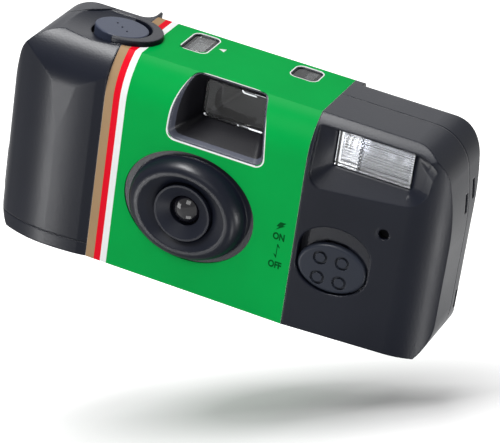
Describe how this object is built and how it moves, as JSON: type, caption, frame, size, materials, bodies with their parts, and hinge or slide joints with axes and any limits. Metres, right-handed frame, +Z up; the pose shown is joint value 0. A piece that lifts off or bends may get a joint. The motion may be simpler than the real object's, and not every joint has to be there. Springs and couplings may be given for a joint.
{
  "type": "disposable film camera",
  "caption": "Compact one-use film camera with a dished lens mound, viewfinder funnel, flash panel, sliding flash switch, top button and thumb wheel, wrapped in a printed paper band.",
  "frame": {"origin": "centre of the bounding box on the resting plane, under the flat base", "axes": "+X along the body towards the flash side, the lens looks along -Y, +Z up"},
  "size_m": [0.108, 0.034, 0.0528],
  "materials": {
    "cover_black": "satin, fine texture",
    "button_black": "semi-gloss",
    "knob_black": "satin",
    "wrap_paper": "printed, semi-gloss",
    "frame_black": "matte",
    "wheel_black": "satin",
    "can_metal": "painted",
    "spool_black": "matte",
    "film": "gloss",
    "gear_white": "matte",
    "dial_white": "matte",
    "clear_window": "clear plastic",
    "clear_lens": "clear plastic",
    "taking_lens": "coated, clear plastic",
    "ring_black": "satin",
    "blade_black": "matte black",
    "clear_flash": "clear plastic, ribbed",
    "reflector": "bright",
    "tube_glass": "clear",
    "board": "laminate",
    "capacitor": "sleeved",
    "transformer": "taped",
    "coil": "lacquered",
    "battery": "printed jacket",
    "contact_metal": "bright",
    "lamp_glass": "clear",
    "clear_pipe": "frosted plastic"
  },
  "bodies": {
    "camera_body": {"front_cover": "cover_black", "rear_cover": "cover_black", "label_wrap": "wrap_paper", "main_frame": "frame_black", "film_cartridge": "can_metal", "film_strip": "film", "counter_window": "clear_window", "viewfinder_front_lens": "clear_lens", "viewfinder_eyepiece": "clear_lens", "viewfinder_tunnel": "frame_black", "taking_lens": "taking_lens", "lens_retainer": "ring_black", "aperture_plate": "blade_black", "shutter_plate": "frame_black", "flash_window": "clear_flash", "flash_reflector": "reflector", "flash_tube": "tube_glass", "flash_board": "board", "flash_capacitor": "capacitor", "flash_transformer": "transformer", "trigger_coil": "coil", "battery": "battery", "battery_contact_positive": "contact_metal", "battery_contact_negative": "contact_metal", "ready_lamp": "lamp_glass", "ready_light_pipe": "clear_pipe"},
    "door": {"film_door": "cover_black"},
    "button": {"shutter_button": "button_black"},
    "release": {"release_lever": "gear_white"},
    "switch": {"flash_switch": "knob_black"},
    "film_advance": {"advance_wheel": "wheel_black", "cartridge_spool": "spool_black"},
    "film_supply": {"supply_spool": "spool_black", "film_roll": "film"},
    "sprocket": {"sprocket_wheel": "gear_white"},
    "counter": {"counter_dial": "dial_white"},
    "blade": {"shutter_blade": "blade_black"},
    "kick": {"kick_lever": "gear_white"}
  },
  "joints": [
    {"name": "door_hinge", "type": "hinge", "parent": "camera_body", "child": "door", "pos_m": [-0.0248, 0, 0], "axis": [0, -1, 0], "range_deg": [0, 95]},
    {"name": "button_press", "type": "slide", "parent": "camera_body", "child": "button", "axis": [0, 0, -1], "range_m": [0, 0.001], "stiffness_N_per_m": 100},
    {"name": "release_rock", "type": "hinge", "parent": "camera_body", "child": "release", "pos_m": [-0.0246, -0.0002, 0.0464], "axis": [0, -1, 0], "range_deg": [0, 12]},
    {"name": "flash_slide", "type": "slide", "parent": "camera_body", "child": "switch", "axis": [0, 0, 1], "range_m": [0, 0.0042]},
    {"name": "advance_turn", "type": "hinge", "parent": "camera_body", "child": "film_advance", "pos_m": [-0.0378, 0.0014, 0.044], "axis": [0, 0, 1], "continuous": true},
    {"name": "sprocket_turn", "type": "hinge", "parent": "camera_body", "child": "sprocket", "pos_m": [-0.0112, 0.00435, 0.035], "axis": [0, 0, 1], "continuous": true},
    {"name": "supply_turn", "type": "hinge", "parent": "camera_body", "child": "film_supply", "pos_m": [0.03, 0.0019, 0.021], "axis": [0, 0, 1], "continuous": true},
    {"name": "counter_turn", "type": "hinge", "parent": "camera_body", "child": "counter", "pos_m": [-0.0174, -0.0004, 0.0478], "axis": [0, 0, 1], "continuous": true},
    {"name": "blade_swing", "type": "hinge", "parent": "camera_body", "child": "blade", "pos_m": [-0.0155, -0.0102, 0.03], "axis": [0, 1, 0], "range_deg": [0, 24], "stiffness_Nm_per_rad": 0.0002, "springref_deg": -11.46},
    {"name": "kick_swing", "type": "hinge", "parent": "camera_body", "child": "kick", "pos_m": [-0.0174, -0.0004, 0.044], "axis": [0, 0, -1], "range_deg": [0, 20], "stiffness_Nm_per_rad": 0.002, "springref_deg": -5.73}
  ],
  "couplings": [
    {"joint": "release_rock", "follows": "button_press", "rad_per_m": 131.58},
    {"joint": "sprocket_turn", "follows": "advance_turn", "ratio": 1.157},
    {"joint": "supply_turn", "follows": "advance_turn", "ratio": 0.959},
    {"joint": "counter_turn", "follows": "advance_turn", "ratio": -0.0386}
  ]
}
